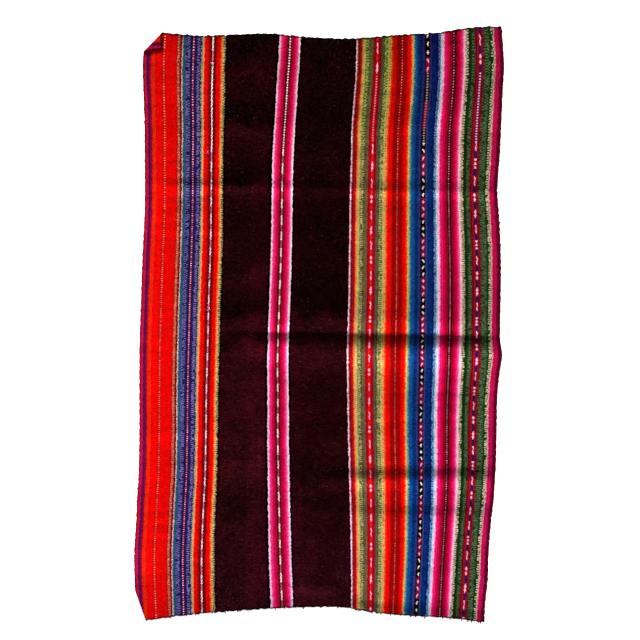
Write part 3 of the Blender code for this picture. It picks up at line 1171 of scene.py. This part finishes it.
def tinted(board, loom, colour):
    """The dyes are deeper near the far end, and the dark fields turn to plum near the near end."""
    unfaded = loom.row.maths("MAXIMUM", 1 - loom.row / row_of(0, UNFADED_TO), 0.0)
    for tint in TINTS:
        tinged = board.mix(1.0, colour, tint.colour, "MULTIPLY")
        colour = board.mix(unfaded * loom.by(tint.yarn, tint.yarns), colour, tinged)
    fields = loom.by(*LEFT_FIELD) + loom.by(*RIGHT_FIELD)
    share = loom.row / rows_in_all()
    bluer = (0.9 + 0.18 * share) * (1 + fields * share ** 8)
    return board.mix(1.0, colour, board.vector(1.0, 1.0 + 0.3 * fields * share, bluer), "MULTIPLY")


def painted_end_shade(board, loom, colour):
    """Painted shade: the last picks at both ends are darkened towards black, along the cloth's two end edges."""
    ragged = 0.2 + 0.6 * board.cloud(loom.yarn * 0.3, 9.0)
    colour = board.mix((loom.row < ragged + 0.15) * 0.85, colour, dye("black"))
    return board.mix((loom.row > rows_in_all() - ragged) * 0.6, colour, dye("black"))


def glints(board, loom, colour):
    """Painted highlights: pale specks added where a few fibres would catch the light."""
    fibre = board.speckle((loom.yarn * 0.62).floor(), (loom.pick * 1.3).floor())
    glint = 0.005 * fibre ** 8 + (fibre > 0.998) * 0.014
    return board.mix(1.0, colour, board.vector(glint * 1.5, glint, glint), "ADD")


def thread_relief(board, loom, thread):
    """Round yarns that pass over and under the weft."""
    side = abs(loom.yarn.fraction() - 0.5) * 2
    crown = abs((loom.pick + thread).fraction() - 0.5) * 2
    height = (1 - side ** 2) * (1 - 0.5 * crown ** 2) + 1.5 * board.cloud(loom.yarn * 0.6, loom.pick * 0.8)
    return board.node("ShaderNodeBump", None, {"Strength": 0.6, "Distance": RELIEF, "Height": height})


def matt(board):
    """Wool has no shine."""
    board.shader.inputs["Roughness"].default_value = 0.95
    board.shader.inputs["Specular IOR Level"].default_value = 0.0


def weave_material():
    board = Board("handwoven_wool")
    loom = Loom(board)
    thread = board.speckle(loom.yarn.floor())
    drift = (board.cloud(loom.row * 0.8, 3.0) - 0.5) * PATTERN_DRIFTS
    colour = warp_and_weft(board, loom)
    colour = wear_and_painted_shade(board, loom, colour, thread)
    colour = tinted(board, loom, colour)
    colour = pattern_bands(board, loom, colour, drift)
    colour = painted_end_shade(board, loom, colour)
    colour = glints(board, loom, colour)
    board.feed(board.shader.inputs["Base Color"], colour)
    board.feed(board.shader.inputs["Normal"], thread_relief(board, loom, thread))
    matt(board)
    return board.material


def spun_material():
    """The dye of a loose yarn, made a little lighter and darker by a fine noise."""
    board = Board("spun_yarn")
    dyed = board.node("ShaderNodeVertexColor", {"layer_name": "dye"})
    place = board.node("ShaderNodeTexCoord", output=3)
    fluff = board.node("ShaderNodeTexNoise", None, {"Vector": place, "Scale": 900.0, "Detail": 2.0})
    tone = 0.6 + 0.8 * fluff
    colour = board.mix(1.0, dyed, board.vector(tone, tone, tone), "MULTIPLY")
    board.feed(board.shader.inputs["Base Color"], colour)
    matt(board)
    return board.material


def camera():
    """Straight above the cloth: 1.85 mm of cloth for each pixel of a 640 pixel picture."""
    view_width = 640 * 1.85 * MM
    lens, sensor = 85.0, 36.0
    data = bpy.data.cameras.new("camera_above")
    data.lens = lens
    data.sensor_width = sensor
    eye = bpy.data.objects.new("camera_above", data)
    eye.location = (1.85 * MM, 7.4 * MM, view_width * lens / sensor)
    bpy.context.scene.collection.objects.link(eye)
    bpy.context.scene.camera = eye


def studio():
    """A pale floor, a broad soft light from beyond the far end, and an even fill."""
    bpy.ops.mesh.primitive_plane_add(size=14, location=(0, 0, -0.0002))
    floor = bpy.context.object
    floor.name = "floor"
    board = Board("pale_floor")
    board.shader.inputs["Base Color"].default_value = (0.9, 0.9, 0.9, 1.0)
    board.shader.inputs["Emission Color"].default_value = (1.0, 1.0, 1.0, 1.0)
    board.shader.inputs["Emission Strength"].default_value = 0.7
    board.shader.inputs["Roughness"].default_value = 0.9
    board.shader.inputs["Specular IOR Level"].default_value = 0.0
    floor.data.materials.append(board.material)
    light = bpy.data.lights.new("window_light", "SUN")
    light.energy = 12.6
    light.angle = math.radians(18)
    lamp = bpy.data.objects.new("window_light", light)
    lamp.rotation_euler = (math.radians(-71), 0, math.radians(4))
    bpy.context.scene.collection.objects.link(lamp)
    world = bpy.data.worlds.new("studio_fill")
    world.use_nodes = True
    world.node_tree.nodes["Background"].inputs["Color"].default_value = (1, 1, 1, 1)
    world.node_tree.nodes["Background"].inputs["Strength"].default_value = 0.42
    bpy.context.scene.world = world
    bpy.context.scene.view_settings.view_transform = "Standard"


camera()
studio()
cloth = woven_panel()
cloth.data.materials.append(weave_material())
ends = loose_yarn_ends()
ends.data.materials.append(spun_material())
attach(cloth, "root")
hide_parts("aguayo_cloth")
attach(ends, "root")
